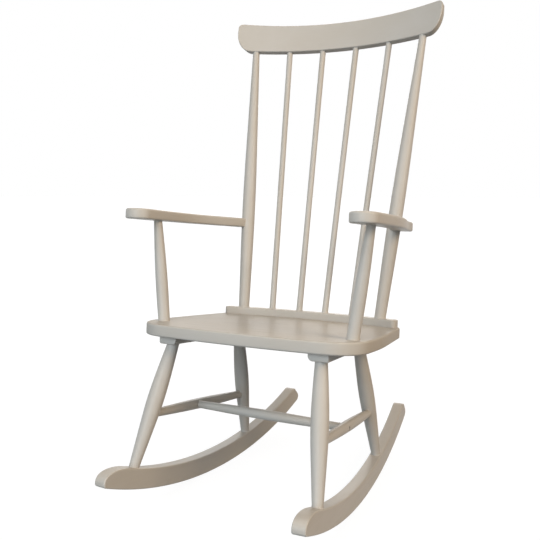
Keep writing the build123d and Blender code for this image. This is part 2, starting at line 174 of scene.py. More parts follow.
def spaced(side, count, turnWeight=9.0):
    # the side's points again, evenly by length plus a share for each turn, so bends get more
    step = np.diff(side, axis=0)
    length = np.linalg.norm(step, axis=1)
    heading = np.unwrap(np.arctan2(step[:, 1], step[:, 0]))
    turn = np.abs(np.gradient(heading)) * turnWeight
    along = np.concatenate([[0], np.cumsum(length + turn + 1e-9)])
    at = np.linspace(0, along[-1], count)
    return np.stack([np.interp(at, along, side[:, k]) for k in (0, 1)], -1)


# Edges over sharpAngle stay sharp. Each piece's grain is set off by an amount of its own
shading = {"sharpAngle": 35.0, "grainStep": (0.37, 0.11, 0.23), "grainSpread": 7, "grainWrap": 5}


def cutHoles(piece, holes):
    # each hole is a turned cutter, taken out of the piece
    for place, hole in enumerate(holes):
        cutter = bpy.data.objects.new(f"cutter{place}", hole)
        bpy.context.scene.collection.objects.link(cutter)
        cut = piece.modifiers.new("hole", "BOOLEAN")
        cut.operation, cut.solver, cut.object = "DIFFERENCE", "EXACT", cutter
    bpy.context.view_layer.update()
    graph = bpy.context.evaluated_depsgraph_get()
    finished = bpy.data.meshes.new_from_object(piece.evaluated_get(graph))
    piece.modifiers.clear()
    piece.data = finished
    for cutter in [item for item in bpy.data.objects if item.name.startswith("cutter")]:
        bpy.data.objects.remove(cutter)


def meshOf(name, points, faces):
    mesh = bpy.data.meshes.new(name)
    mesh.from_pydata(onFloor(points).tolist(), [], faces)
    mesh.validate()
    return mesh


def placesOf(mesh):
    places = np.empty(len(mesh.vertices) * 3)
    mesh.vertices.foreach_get("co", places)
    return places.reshape(-1, 3)


def makePiece(name, node, mesh, material, grainOf, holes=(), edge=None, sharp=False):
    # grainOf turns places in metres into the piece's own: along the grain, across it and inwards
    if edge is not None:
        layer = mesh.attributes.new("edgeNear", "FLOAT", "POINT")
        layer.data.foreach_set("value", np.asarray(edge, np.float32))
    piece = bpy.data.objects.new(name, mesh)
    bpy.context.scene.collection.objects.link(piece)
    if holes:
        cutHoles(piece, holes)
    mesh = piece.data
    places = placesOf(mesh)
    apart = np.abs(np.array(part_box(node)) - (places.min(0), places.max(0))).max() * 1000
    print(f"{name}: {len(mesh.polygons)} faces, box {apart:.1f} mm from its node's")
    grain = mesh.attributes.new("grainPlace", "FLOAT_VECTOR", "POINT")
    grain.data.foreach_set("vector", grainOf(places).astype(np.float32).ravel())
    mesh.polygons.foreach_set("use_smooth", np.ones(len(mesh.polygons), bool))
    if holes or sharp:
        mesh.set_sharp_from_angle(angle=np.radians(shading["sharpAngle"]))
    mesh.materials.clear()
    mesh.materials.append(material)
    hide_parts(node)
    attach(piece, "root")


def localAxes(origin, along, across):
    # rigid change from places on the floor to a piece's own axes
    points = (origin, np.add(origin, along), np.add(origin, across))
    origin, tip, side = (onFloor(point) for point in points)
    first = unit(tip - origin)
    second = unit((side - origin) - first * ((side - origin) @ first))
    axes = np.stack([first, second, np.cross(first, second)], 1)
    amount = abs(origin).sum() * shading["grainSpread"] % shading["grainWrap"]
    return lambda places: (places - origin) @ axes + np.array(shading["grainStep"]) * amount


def ringQuads(rows, columns):
    # quads between neighbouring closed rings of a grid
    row = np.arange(rows - 1)[:, None] * columns
    column = np.arange(columns)[None]
    after = (column + 1) % columns
    quads = np.stack([row + column, row + columns + column, row + columns + after, row + after], -1)
    return quads.reshape(-1, 4)


def ringCaps(rows, columns):
    # triangles from the first and the last ring to the two points that follow the rings
    ring = np.arange(columns)
    after = (ring + 1) % columns
    last = (rows - 1) * columns
    startCap = np.stack([after, ring, np.full(columns, rows * columns)], -1)
    endCap = np.stack([last + ring, last + after, np.full(columns, rows * columns + 1)], -1)
    return startCap.tolist() + endCap.tolist()


def roundAxes(axis):
    # two directions square to the axis and to each other
    side = unit(np.cross(axis, (0, 1, 0) if abs(axis[1]) < 0.8 else (1, 0, 0)))
    return side, np.cross(axis, side)


# Rows of points along a turning: denser over endReach at both ends, where it also goes into the
# board that it stands in
turning = {"around": 64, "body": 90, "endRows": 26, "endReach": 9.0, "into": 5.0, "paintFillet": 0.7,
           "filletReach": 1.6, "profileRows": 200}


def turnedSurface(start, end, stations, tenons, startFace, endFace):
    # point = start + along * axis + radius * (cosine * side + sine * up); the radius is a smooth
    # curve through the stations (share, diameter), a little larger where paint gathers at a joint,
    # and steps down to a tenon (diameter, depth) inside the piece that each end stands in
    length = np.linalg.norm(end - start)
    axis = (end - start) / length
    side, up = roundAxes(axis)
    knots = [(share * length, diameter / 2) for share, diameter in stations]
    profile = splineThrough(knots, turning["profileRows"])
    reach, into = turning["endReach"], turning["into"]
    ends = np.linspace(-into, reach, turning["endRows"])
    body = np.linspace(reach, length - reach, turning["body"])[1:-1]
    startTenon, endTenon = (np.array((-depth, -into)) for _, depth in tenons)
    along = np.concatenate([startTenon, ends, body, length - ends[::-1], length - endTenon[::-1]])
    angle = np.linspace(0, 2 * np.pi, turning["around"], endpoint=False)
    radial = np.cos(angle)[:, None] * side + np.sin(angle)[:, None] * up
    radius = np.interp(along, profile[:, 0], profile[:, 1])[:, None] * np.ones(len(angle))
    axisPoints = start + along[:, None] * axis
    points = axisPoints[:, None] + radius[..., None] * radial
    for origin, face in ((start, startFace), (end, endFace)):
        away = np.abs((points - origin) @ unit(axis if face is None else face))
        radius = radius + turning["paintFillet"] * np.exp(-away / turning["filletReach"])
    radius[:2], radius[-2:] = tenons[0][0] / 2, tenons[1][0] / 2
    points = axisPoints[:, None] + radius[..., None] * radial
    points = np.vstack([points.reshape(-1, 3), axisPoints[[0, -1]]])
    faces = ringQuads(*radius.shape)[:, ::-1].tolist() + ringCaps(*radius.shape)
    return points, faces, axis, side


def turnedPiece(name, node, start, end, stations, tenons, side=1, startFace=None, endFace=None, holes=()):
    # the faces are the normals of what each end meets, square to the axis where none is given
    start, end = mirrored(start, side), mirrored(end, side)
    points, faces, axis, across = turnedSurface(start, end, stations, tenons, startFace, endFace)
    mesh = meshOf(name, points, faces)
    makePiece(name, node, mesh, satinPaint, localAxes(start, axis, across), holes)


def facesOut(faces, side):
    # a mirrored piece has its faces turned over, so that they still look outwards
    return faces if side > 0 else [face[::-1] for face in faces]


board = {"long": 90, "short": 26, "roundRows": 7, "support": 0.8, "wearPlace": 0.3}


def flatPatch(ring, ids, firstNew):
    # Coons patch in a closed ring: the blend of front and back plus that of left and right, less
    # the blend of the corners; its rim has the ring's own points
    long, short, around = board["long"], board["short"], len(ring)
    walk = np.arange(around + 1) % around
    front, right = walk[:long], walk[long - 1:long + short - 1]
    back, left = walk[long + short - 2:2 * long + short - 2][::-1], walk[2 * long + short - 3:][::-1]
    u, v = np.linspace(0, 1, long)[None, :, None], np.linspace(0, 1, short)[:, None, None]
    corner = ((1 - u) * (1 - v) * ring[front[0]] + u * (1 - v) * ring[front[-1]]
              + (1 - u) * v * ring[back[0]] + u * v * ring[back[-1]])
    patch = ((1 - v) * ring[front][None] + v * ring[back][None]
             + (1 - u) * ring[left][:, None] + u * ring[right][:, None] - corner)
    index = np.zeros((short, long), int)
    index[0], index[-1], index[:, 0], index[:, -1] = ids[front], ids[back], ids[left], ids[right]
    index[1:-1, 1:-1] = firstNew + np.arange((short - 2) * (long - 2)).reshape(short - 2, long - 2)
    quads = np.stack([index[:-1, :-1], index[:-1, 1:], index[1:, 1:], index[1:, :-1]], -1)
    return patch[1:-1, 1:-1].reshape(-1, 3), quads.reshape(-1, 4)


def boardSurface(sides, thickness, topRound, bottomRound, place):
    # the outline is set in by r (1 - sine) while the depth falls by r (1 - cosine), which rounds
    # the edge; place() then bends or leans the flat board
    long, short, support = board["long"], board["short"], board["support"]
    parts = [spaced(side, count) for side, count in zip(sides, (long, short, long, short))]
    loop = np.vstack([part[:-1] for part in parts])
    around = len(loop)
    ahead = np.roll(loop, -1, 0) - np.roll(loop, 1, 0)
    ahead = ahead / np.linalg.norm(ahead, axis=1)[:, None]
    outward = np.stack([ahead[:, 1], -ahead[:, 0]], -1)
    turn = np.linspace(0, np.pi / 2, board["roundRows"])
    inset = np.concatenate([[topRound + support], topRound * (1 - np.sin(turn)),
                            bottomRound * (1 - np.cos(turn)), [bottomRound + support]])
    depth = np.concatenate([[0], topRound * (1 - np.cos(turn)),
                            thickness - bottomRound * (1 - np.sin(turn)), [thickness]])
    rim = loop[None] - outward[None] * inset[:, None, None]
    rim = np.concatenate([rim, np.broadcast_to(-depth[:, None, None], rim.shape[:2] + (1,))], -1)
    rows = len(inset)
    # wear = e to the minus ((inset - a share of the rounding) / rounding) squared, so that the side
    # and its rounded edges are worn and the flats aren't
    near = np.exp(-((inset - board["wearPlace"] * topRound) / topRound) ** 2)
    count = rows * around
    topPoints, topQuads = flatPatch(rim[0], np.arange(around), count)
    lowPoints, lowQuads = flatPatch(rim[-1], np.arange(count - around, count), count + len(topPoints))
    local = np.vstack([rim.reshape(-1, 3), topPoints, lowPoints])
    faces = np.vstack([ringQuads(rows, around), topQuads, lowQuads[:, ::-1]])
    edge = np.concatenate([np.repeat(near, around), np.zeros(len(topPoints) + len(lowPoints))])
    return place(local[:, 0], local[:, 1], local[:, 2]), faces.tolist(), edge


def boardPiece(name, node, made, thickness, sides, place, material, side=1, holes=()):
    # made is the piece's dictionary, for its rounds and grain
    points, faces, edge = boardSurface(sides, thickness, *made["rounds"], place)
    origin, along, across = (mirrored(item, side) for item in made["grain"])
    mesh = meshOf(name, mirrored(points, side), facesOut(faces, side))
    makePiece(name, node, mesh, material, localAxes(origin, along, across), holes, edge)


def addNode(tree, kind, inputs=None, **settings):
    made = tree.nodes.new(kind)
    for key, value in settings.items():
        setattr(made, key, value)
    for key, value in (inputs or {}).items():
        made.inputs[key].default_value = value
    return made


def mapRange(tree, value, fromRange, toRange=(0.0, 1.0)):
    made = addNode(tree, "ShaderNodeMapRange", {"From Min": fromRange[0], "From Max": fromRange[1],
                                                "To Min": toRange[0], "To Max": toRange[1]})
    tree.links.new(value, made.inputs["Value"])
    return made.outputs["Result"]


# Lengths are in metres. Each range says between which values of its mask the effect sets in
paint = {"body": (0.545, 0.52, 0.48, 1), "warm": (0.52, 0.487, 0.435, 1), "edge": (0.5, 0.455, 0.39, 1),
         "streak": (0.86, 0.84, 0.8, 1), "mottleRange": (0.3, 0.7), "streakRange": (0.35, 0.7),
         "streakAmount": 0.1, "edgeAmount": 0.22, "glossRange": (0.25, 0.75), "smoother": 0.05,
         "rougher": 0.07, "sizes": {"Streak Width": 0.0035, "Mottle Size": 0.09, "Skin Size": 0.0011}}
# For each mask: stretch along the grain, the socket for its size, detail, roughness, distortion
paintNoises = {"Streaks": ((0.03, 1.0, 1.0), "Streak Width", 3.0, 0.55, 0.0),
               "Mottle": ((0.6, 1.0, 1.0), "Mottle Size", 3.0, 0.5, 0.0),
               "Skin": ((1.0, 1.0, 1.0), "Skin Size", 2.0, 0.5, 0.0),
               "Grain": ((0.045, 1.0, 1.0), "Streak Width", 5.0, 0.65, 0.4)}


def paintLayerGroup():
    # masks of brushed paint: streaks along the grain, slow mottling, a fine skin and brush lines
    group = bpy.data.node_groups.new("paintLayer", "ShaderNodeTree")
    group.interface.new_socket("Place", in_out="INPUT", socket_type="NodeSocketVector")
    for socket in paint["sizes"]:
        group.interface.new_socket(socket, in_out="INPUT", socket_type="NodeSocketFloat")
    for socket in paintNoises:
        group.interface.new_socket(socket, in_out="OUTPUT", socket_type="NodeSocketFloat")
    entry, leave = addNode(group, "NodeGroupInput"), addNode(group, "NodeGroupOutput")
    link = group.links.new
    for mask, (stretch, sizeSocket, detail, roughness, distortion) in paintNoises.items():
        stretched = addNode(group, "ShaderNodeVectorMath", {1: stretch}, operation="MULTIPLY")
        scale = addNode(group, "ShaderNodeMath", {0: 1.0}, operation="DIVIDE")
        texture = addNode(group, "ShaderNodeTexNoise", {"Detail": detail, "Roughness": roughness,
                                                        "Distortion": distortion})
        link(entry.outputs["Place"], stretched.inputs[0])
        link(entry.outputs[sizeSocket], scale.inputs[1])
        link(stretched.outputs[0], texture.inputs["Vector"])
        link(scale.outputs[0], texture.inputs["Scale"])
        link(texture.outputs["Fac"], leave.inputs[mask])
    return group


satin = {"roughness": 0.38, "sheen": 0.15, "brushRelief": 0.00012, "skinRelief": 0.00003}
polished = {"roughness": 0.3, "sheen": 0.008, "brushRelief": 0.00003, "skinRelief": 0.000006}
paintLayer = paintLayerGroup()


def paintMaterial(name, surface):
    material = bpy.data.materials.new(name)
    material.use_nodes = True
    tree = material.node_tree
    tree.nodes.clear()
    link = tree.links.new
    output = addNode(tree, "ShaderNodeOutputMaterial")
    shader = addNode(tree, "ShaderNodeBsdfPrincipled", {"IOR": 1.5, "Specular IOR Level": surface["sheen"]})
    place = addNode(tree, "ShaderNodeAttribute", attribute_name="grainPlace")
    edge = addNode(tree, "ShaderNodeAttribute", attribute_name="edgeNear")
    layer = addNode(tree, "ShaderNodeGroup", paint["sizes"], node_tree=paintLayer)
    link(place.outputs["Vector"], layer.inputs["Place"])
    # slow mottling between two colours, then darker streaks, then worn edges
    body = addNode(tree, "ShaderNodeMix", data_type="RGBA")
    body.inputs["A"].default_value, body.inputs["B"].default_value = paint["body"], paint["warm"]
    link(mapRange(tree, layer.outputs["Mottle"], paint["mottleRange"]), body.inputs["Factor"])
    streaked = addNode(tree, "ShaderNodeMix", data_type="RGBA", blend_type="MULTIPLY")
    streaked.inputs["B"].default_value = paint["streak"]
    streak = mapRange(tree, layer.outputs["Streaks"], paint["streakRange"], (0.0, paint["streakAmount"]))
    link(streak, streaked.inputs["Factor"])
    link(body.outputs["Result"], streaked.inputs["A"])
    worn = addNode(tree, "ShaderNodeMath", {1: paint["edgeAmount"]}, operation="MULTIPLY")
    link(edge.outputs["Fac"], worn.inputs[0])
    edged = addNode(tree, "ShaderNodeMix", data_type="RGBA")
    edged.inputs["B"].default_value = paint["edge"]
    link(worn.outputs[0], edged.inputs["Factor"])
    link(streaked.outputs["Result"], edged.inputs["A"])
    link(edged.outputs["Result"], shader.inputs["Base Color"])
    roughRange = (surface["roughness"] - paint["smoother"], surface["roughness"] + paint["rougher"])
    rough = mapRange(tree, layer.outputs["Streaks"], paint["glossRange"], roughRange)
    link(rough, shader.inputs["Roughness"])
    grainBump = addNode(tree, "ShaderNodeBump", {"Strength": 1.0, "Distance": surface["brushRelief"]})
    link(layer.outputs["Grain"], grainBump.inputs["Height"])
    skinBump = addNode(tree, "ShaderNodeBump", {"Strength": 1.0, "Distance": surface["skinRelief"]})
    link(layer.outputs["Skin"], skinBump.inputs["Height"])
    link(grainBump.outputs["Normal"], skinBump.inputs["Normal"])
    link(skinBump.outputs["Normal"], shader.inputs["Normal"])
    link(shader.outputs["BSDF"], output.inputs["Surface"])
    return material


steel = {"light": (0.3, 0.28, 0.25, 1), "dark": (0.12, 0.11, 0.1, 1), "scale": 900.0, "detail": 4.0,
         "roughness": (0.3, 0.55)}


def steelMaterial():
    material = bpy.data.materials.new("zincScrew")
    material.use_nodes = True
    tree = material.node_tree
    link = tree.links.new
    shader = tree.nodes["Principled BSDF"]
    shader.inputs["Metallic"].default_value = 1.0
    coords = addNode(tree, "ShaderNodeTexCoord")
    noise = addNode(tree, "ShaderNodeTexNoise", {"Scale": steel["scale"], "Detail": steel["detail"]})
    tint = addNode(tree, "ShaderNodeMix", data_type="RGBA")
    tint.inputs["A"].default_value, tint.inputs["B"].default_value = steel["light"], steel["dark"]
    link(coords.outputs["Object"], noise.inputs["Vector"])
    link(noise.outputs["Fac"], tint.inputs["Factor"])
    link(tint.outputs["Result"], shader.inputs["Base Color"])
    link(mapRange(tree, noise.outputs["Fac"], (0.0, 1.0), steel["roughness"]), shader.inputs["Roughness"])
    return material


satinPaint = paintMaterial("satinPaint", satin)
polishedPaint = paintMaterial("seatPaint", polished)
zincScrew = steelMaterial()
print("materials made")


screws = {"shank": 4.0, "head": 8.0, "headHeight": 2.6, "rim": 0.3, "tip": 0.6, "tipLength": 2.0,
          "around": 32, "sink": 1.5, "gap": 0.1, "mouth": 8.0, "bore": 9.0,
          "slotLong": 4.4, "slotWide": 0.9, "slotDeep": 1.6, "slotTaper": 0.45, "slotTurn": (0.3, 0.8, 0.5),
          "lengths": {"rail": 36.0, "batten": 34.0, "arm": 28.0, "stretcher": 38.0},
          "railPlaces": (-140, -70, 0, 70, 140), "battenShares": (0.2, 0.5, 0.8)}
upwards = (0, 0, 30)


def turnedMesh(name, start, towards, outline):
    # point = start + along * axis + radius * (cosine * side + sine * up), for rows of (along,
    # radius), the first and last on the axis
    outline = np.array(outline, float)
    axis = unit(towards - start)
    side, up = roundAxes(axis)
    angle = np.linspace(0, 2 * np.pi, screws["around"], endpoint=False)
    radial = np.cos(angle)[:, None] * side + np.sin(angle)[:, None] * up
    rings = start + outline[1:-1, :1, None] * axis + outline[1:-1, 1:, None] * radial
    points = np.vstack([rings.reshape(-1, 3), start + outline[[0, -1], :1] * axis])
    rows = len(outline) - 2
    quads = ringQuads(rows, screws["around"])[:, ::-1].tolist()
    return meshOf(name, points, quads + ringCaps(rows, screws["around"]))


def screwHoles(kind, side=1):
    # a mouth that reaches out of the board, a cone for the head and a short bore
    big, small = screws["head"] / 2 + screws["gap"], screws["shank"] / 2 + screws["gap"]
    outline = [(-screws["mouth"], 0), (-screws["mouth"], big), (0, big), (screws["headHeight"], small),
               (screws["bore"], small), (screws["bore"], 0)]
    return [turnedMesh("hole", mirrored(head, side), mirrored(point, side), outline)
            for head, point in screwEnds[kind]]


def slotMesh(head, point, quarter):
    # a wedge across the head, narrower at its floor, for one arm of the crossed slot
    axis = unit(point - head)
    side = unit(np.cross(axis, screws["slotTurn"]))
    long, wide = (np.cross(axis, side), side) if quarter else (side, np.cross(axis, side))
    corners = np.array([(u, v, w) for w in (-1, 1) for v in (-1, 1) for u in (-1, 1)], float)
    taper = np.where(corners[:, 2] > 0, screws["slotTaper"], 1.0)[:, None]
    points = (head + corners[:, 2:] * screws["slotDeep"] * axis
              + corners[:, :1] * taper * screws["slotLong"] / 2 * long
              + corners[:, 1:2] * taper * screws["slotWide"] / 2 * wide)
    faces = [(0, 2, 3, 1), (4, 5, 7, 6), (0, 1, 5, 4), (2, 6, 7, 3), (1, 3, 7, 5), (0, 4, 6, 2)]
    return meshOf("slot", points, facesOut(faces, np.linalg.det([long, wide, axis])))


def screwsPiece(name, node, kind, sides):
    # each screw is one turning: flat head, cone, shank, then a blunt point, with a crossed slot
    big, small, length = screws["head"] / 2, screws["shank"] / 2, screws["lengths"][kind]
    outline = [(0, 0), (0, big - screws["rim"]), (screws["rim"], big), (screws["headHeight"], small),
               (length - screws["tipLength"], small), (length, screws["tip"]), (length, 0)]
    points, faces, start = [], [], 0
    for head, point in np.vstack([mirrored(screwEnds[kind], side) for side in sides]):
        piece = bpy.data.objects.new(name, turnedMesh(name, head, point, outline))
        bpy.context.scene.collection.objects.link(piece)
        cutHoles(piece, [slotMesh(head, point, quarter) for quarter in (0, 1)])
        points.append(placesOf(piece.data))
        faces += [[index + start for index in polygon.vertices] for polygon in piece.data.polygons]
        start += len(points[-1])
        bpy.data.objects.remove(piece)
    joined = bpy.data.meshes.new(name)
    joined.from_pydata(np.vstack(points).tolist(), [], faces)
    makePiece(name, node, joined, zincScrew, lambda places: places, sharp=True)


# Boards: rounds are the radii of the upper and the lower edge; grain is an origin, the direction
# along the grain and the direction across it
seatBoard = {"thickness": 25.0, "frontReach": 80.0, "frontHalf": 251.5, "widestY": 85.0,
             "rearHalf": 226.0, "frontBow": 18.0, "frontCorner": 77.0, "sideRound": 800.0,
             "rearCorner": 16.0, "rounds": (4.0, 4.0), "behindRail": 5.0,
             "grain": ((0, 0, 0), (1, 0, 0), (0, 1, 0))}
backRail = {"apexY": 299.5, "radius": 820.0, "half": 222.0, "height": 17.5, "thickness": 28.0,
            "rounds": (3.5, 0.3), "endRound": 8.0,
            "grain": ((0, 300, 0), (1, 0, 0), (0, 1, 0))}
crestRail = {"apexY": 410.0, "bottomZ": 688.0, "radius": 820.0, "lean": 8.0, "height": 72.0,
             "endRise": 5.0, "half": 278.0, "thickness": 21.0, "rounds": (2.5, 2.5), "topCorner": 12.0,
             "sweep": (36.0, 52.0), "sweepSplit": -50, "grain": ((0, 400, 700), (1, 0, 0), (0, 0, 1))}
crestLean = np.radians(crestRail["lean"])
rockers = {"radius": 970.0, "centreY": 119.0, "centreZ": 614.0, "height": 41.0, "thickness": 27.0,
           "spacing": 196.0, "toe": 0.074, "noseY": -197.0, "tailY": 558.0, "noseWidth": 72.0,
           "noseHeight": 33.0, "lipSlope": (-0.12, -1), "toeCorner": 6.0, "tailSlope": 14.0,
           "tailCorner": 12.0, "rounds": (2.5, 2.5)}
rockers["grain"] = ((200, 119, -300), (-rockers["toe"], 1, 0), (0, 0, 1))
arms = {"thickness": 22.0, "underside": 219.0, "padX": 255.0, "padY": -57.0, "padRadius": 29.0,
        "waistX": 250.0, "waistY": 150.0, "waistWidth": 42.0, "tailWidth": 41.0, "tailInset": 5.0,
        "tailReach": 25.0, "tailRound": 16.0, "tailInnerRound": 16 / 3, "rounds": (5.0, 4.0),
        "grain": ((220, 100, 220), (0, 1, 0), (-1, 0, 0))}
battens = {"width": 42.0, "thickness": 16.5, "front": 20.0, "rear": 24.0, "edgeRound": 3.0,
           "innerRound": 9.0, "endRows": 9, "rows": 60, "sectionPoints": (14, 30, 14, 16)}

# Turnings: tenons are (diameter, depth) at the start and at the end; for fullness see swelled()
posts = {"footX": 179.0, "headX": 228.8, "foot": 26.0, "belly": 32.5, "bellyHeight": 255.0,
         "head": 17.5, "fullness": (1.6, 1.6), "tenons": ((14.0, 36.0), (14.0, 34.0))}
spindles = {"footAndHeadX": {"inner": (34.0, 46.0), "outer": (105.0, 137.5)}, "end": 15.0,
            "middle": 14.2, "tenons": ((11.0, 13.0), (11.0, 26.0))}
supports = {"footX": 219.5, "headX": 248.0, "foot": 25.0, "belly": 26.5, "bellyShare": 0.34,
            "head": 18.0, "tenons": ((13.0, 19.0), (13.0, 15.0))}
legs = {"front": ((170.0, -32.0), -103.0), "rear": ((154.0, 215.0), 302.0), "top": 24.5, "belly": 34.5,
        "bellyShare": 0.47, "foot": 21.0, "fullness": (2.4, 1.3), "tenons": ((15.0, 13.0), (15.0, 24.0))}
stretchers = {"dropFront": 184.0, "dropRear": 196.0, "end": 17.0, "belly": 23.0, "crossEnd": 16.0,
              "crossBelly": 21.0, "crossShare": 0.45, "tenons": ((12.0, 14.0),) * 2,
              "crossTenons": ((11.0, 12.0),) * 2}


def railPoint(x):
    # on the back rail's top, over the middle of its thickness
    return np.array([x, planArc(backRail["apexY"], backRail["radius"], x), backRail["height"]])


def crestPoint(x):
    # on the crest rail's underside, in the middle of its thickness
    back = planArc(0, crestRail["radius"], x)
    y, z = back * np.cos(crestLean), back * np.sin(crestLean)
    return np.array([x, crestRail["apexY"] + y, crestRail["bottomZ"] - z])


def crossing(start, end, z):
    # where the line through both points is at the height z
    return start + (end - start) * (z - start[2]) / (end[2] - start[2])


def rockerTop(y):
    # z = centre - square root of (inner radius squared - (y - centre) squared)
    reach = rockers["radius"] - rockers["height"]
    z = rockers["centreZ"] - np.sqrt(reach ** 2 - (y - rockers["centreY"]) ** 2)
    return np.array([rockers["spacing"] - rockers["toe"] * y, y, z])


def rockerNormal(y):
    # square to the rocker's top edge there
    centre = np.array([0, rockers["centreY"], rockers["centreZ"]])
    return unit((centre - rockerTop(y)) * (0, 1, 1))


def swelled(first, belly, last, share, fullness):
    # stations (share, diameter) of a turning that is thickest at one share of its length; half-way
    # to an end, diameter = (end's + fullness * belly's) / (1 + fullness)
    before, after = ((end + weight * belly) / (1 + weight) for end, weight in zip((first, last), fullness))
    return [(0, first), (share / 2, before), (share, belly), ((1 + share) / 2, after), (1, last)]


undersideZ = -seatBoard["thickness"] - battens["thickness"]
postFoot, postHead = railPoint(posts["footX"]), crestPoint(posts["headX"])
postAtArm = crossing(postFoot, postHead, arms["underside"] + arms["thickness"] / 2)
frontTop = np.array([*legs["front"][0], undersideZ])
rearTop = np.array([*legs["rear"][0], undersideZ])
frontFoot, rearFoot = rockerTop(legs["front"][1]), rockerTop(legs["rear"][1])
frontKnee = crossing(frontTop, frontFoot, -stretchers["dropFront"])
rearKnee = crossing(rearTop, rearFoot, -stretchers["dropRear"])
kneeLine = unit(rearKnee - frontKnee)
sideStart = frontKnee + kneeLine * legs["belly"] / 2
sideEnd = rearKnee - kneeLine * legs["belly"] / 2
crossNode = frontKnee + (rearKnee - frontKnee) * stretchers["crossShare"]
crossStart = crossNode - (stretchers["belly"] / 2, 0, 0)
crestNormal = (0, np.sin(crestLean), np.cos(crestLean))

# Each screw's head and a point ahead of it; all but the rail's are mirrored for the right hand
railHeads = [railPoint(x) * (1, 1, 0) + (0, 0, screws["sink"] - seatBoard["thickness"])
             for x in screws["railPlaces"]]
battenHeads = [frontTop + (rearTop - frontTop) * share + (0, 0, screws["sink"])
               for share in screws["battenShares"]]
armHead = postAtArm + (0, arms["tailReach"] - screws["sink"], 0)
stretcherHead = crossNode + (stretchers["belly"] / 2 - screws["sink"], 0, 0)
screwEnds = {"rail": [(head, head + upwards) for head in railHeads],
             "batten": [(head, head + upwards) for head in battenHeads],
             "arm": [(armHead, postAtArm)], "stretcher": [(stretcherHead, crossNode)]}

legStations = swelled(legs["top"], legs["belly"], legs["foot"], legs["bellyShare"], legs["fullness"])
postShare = (posts["bellyHeight"] - postFoot[2]) / (postHead[2] - postFoot[2])
postStations = swelled(posts["foot"], posts["belly"], posts["head"], postShare, posts["fullness"])
supportStations = [(0, supports["foot"]), (supports["bellyShare"], supports["belly"]),
                   (1, supports["head"])]
spindleStations = [(0, spindles["end"]), (0.5, spindles["middle"]), (1, spindles["end"])]
sideStations = [(0, stretchers["end"]), (0.5, stretchers["belly"]), (1, stretchers["end"])]
crossStations = [(0, stretchers["crossEnd"]), (0.5, stretchers["crossBelly"]), (1, stretchers["crossEnd"])]

for side, hand in hands:
    for which, top, foot in (("front", frontTop, frontFoot), ("rear", rearTop, rearFoot)):
        turnedPiece(f"{hand}{which.title()}Leg", f"{hand}_{which}_leg", top, foot, legStations,
                    legs["tenons"], side, upright, rockerNormal(foot[1]))
    turnedPiece(f"{hand}BackPost", f"{hand}_back_post", postFoot, postHead, postStations,
                posts["tenons"], side, upright, crestNormal)
    turnedPiece(f"{hand}ArmSupport", f"{hand}_arm_support", (supports["footX"], 0, 0),
                (supports["headX"], 0, arms["underside"]), supportStations, supports["tenons"], side,
                upright, upright)
    for which, (footX, headX) in spindles["footAndHeadX"].items():
        turnedPiece(f"{hand}{which.title()}Spindle", f"{hand}_{which}_spindle", railPoint(footX),
                    crestPoint(headX), spindleStations, spindles["tenons"], side, upright, crestNormal)
    turnedPiece(f"{hand}SideStretcher", f"{hand}_side_stretcher", sideStart, sideEnd, sideStations,
                stretchers["tenons"], side, holes=screwHoles("stretcher", side))
turnedPiece("crossStretcher", "cross_stretcher", crossStart, mirrored(crossStart, -1), crossStations,
            stretchers["crossTenons"])
print("turned pieces made")


# Outlines have four sides, each with the board on its left: front, right, rear and left, or from
# the lower side on where a board stands up
def seatSides():
    # a bowed front, sides that draw in behind their widest place, a rear arc along the back rail
    s = seatBoard
    behind = backRail["thickness"] / 2 + s["behindRail"]
    rearY, rearRadius = backRail["apexY"] + behind, backRail["radius"] + behind
    half, rearHalf, sideY = s["frontHalf"], s["rearHalf"], s["frontBow"] - s["frontReach"]
    cornerY = planArc(rearY, rearRadius, rearHalf)
    front = bowed((-half, sideY), (0, -s["frontReach"]), (half, sideY), 1200)
    forward = straight((half, sideY), (half, s["widestY"]), 400)
    backward = straight((half, s["widestY"]), (rearHalf, cornerY), 600)
    right = np.vstack(roundedCorner(forward, backward, s["sideRound"]))
    rear = bowed((rearHalf, cornerY), (0, rearY), (-rearHalf, cornerY), 1200)
    left = right[::-1] * (-1, 1)
    corners = [s["frontCorner"], s["rearCorner"], s["rearCorner"], s["frontCorner"]]
    return roundedSides([front, right, rear, left], corners)


def railSides():
    # two arcs half a thickness before and behind the rail's own, with straight ends
    r = backRail
    across, thick = np.linspace(-r["half"], r["half"], 2000), r["thickness"] / 2
    front = np.stack([across, planArc(r["apexY"] - thick, r["radius"] - thick, across)], -1)
    rear = np.stack([across, planArc(r["apexY"] + thick, r["radius"] + thick, across)], -1)[::-1]
    right, left = straight(front[-1], rear[0], 200), straight(rear[-1], front[0], 200)
    return roundedSides([front, right, rear, left], [r["endRound"]] * 4)


def crestSides():
    # drawn flat, with the height along Y: an underside swept up at both ends by quarter ellipses,
    # and a crown that rises to its ends
    c = crestRail
    half, (sweepX, sweepZ), top = c["half"], c["sweep"], c["height"] + c["endRise"]
    centre = (half - sweepX, sweepZ)
    low = ellipseArc(centre, c["sweep"], -90, c["sweepSplit"], 200)
    high = ellipseArc(centre, c["sweep"], c["sweepSplit"], 0, 200)
    level = straight((-centre[0], 0), (centre[0], 0), 400)[1:-1]
    bottom = np.vstack([(low * (-1, 1))[::-1][:-1], level, low])
    right = np.vstack([high, straight((half, sweepZ), (half, top), 120)[1:]])
    crown = bowed((half, top), (0, c["height"]), (-half, top), 1500)
    left = (right * (-1, 1))[::-1]
    return roundedSides([bottom, right, crown, left], [0, c["topCorner"], c["topCorner"], 0])


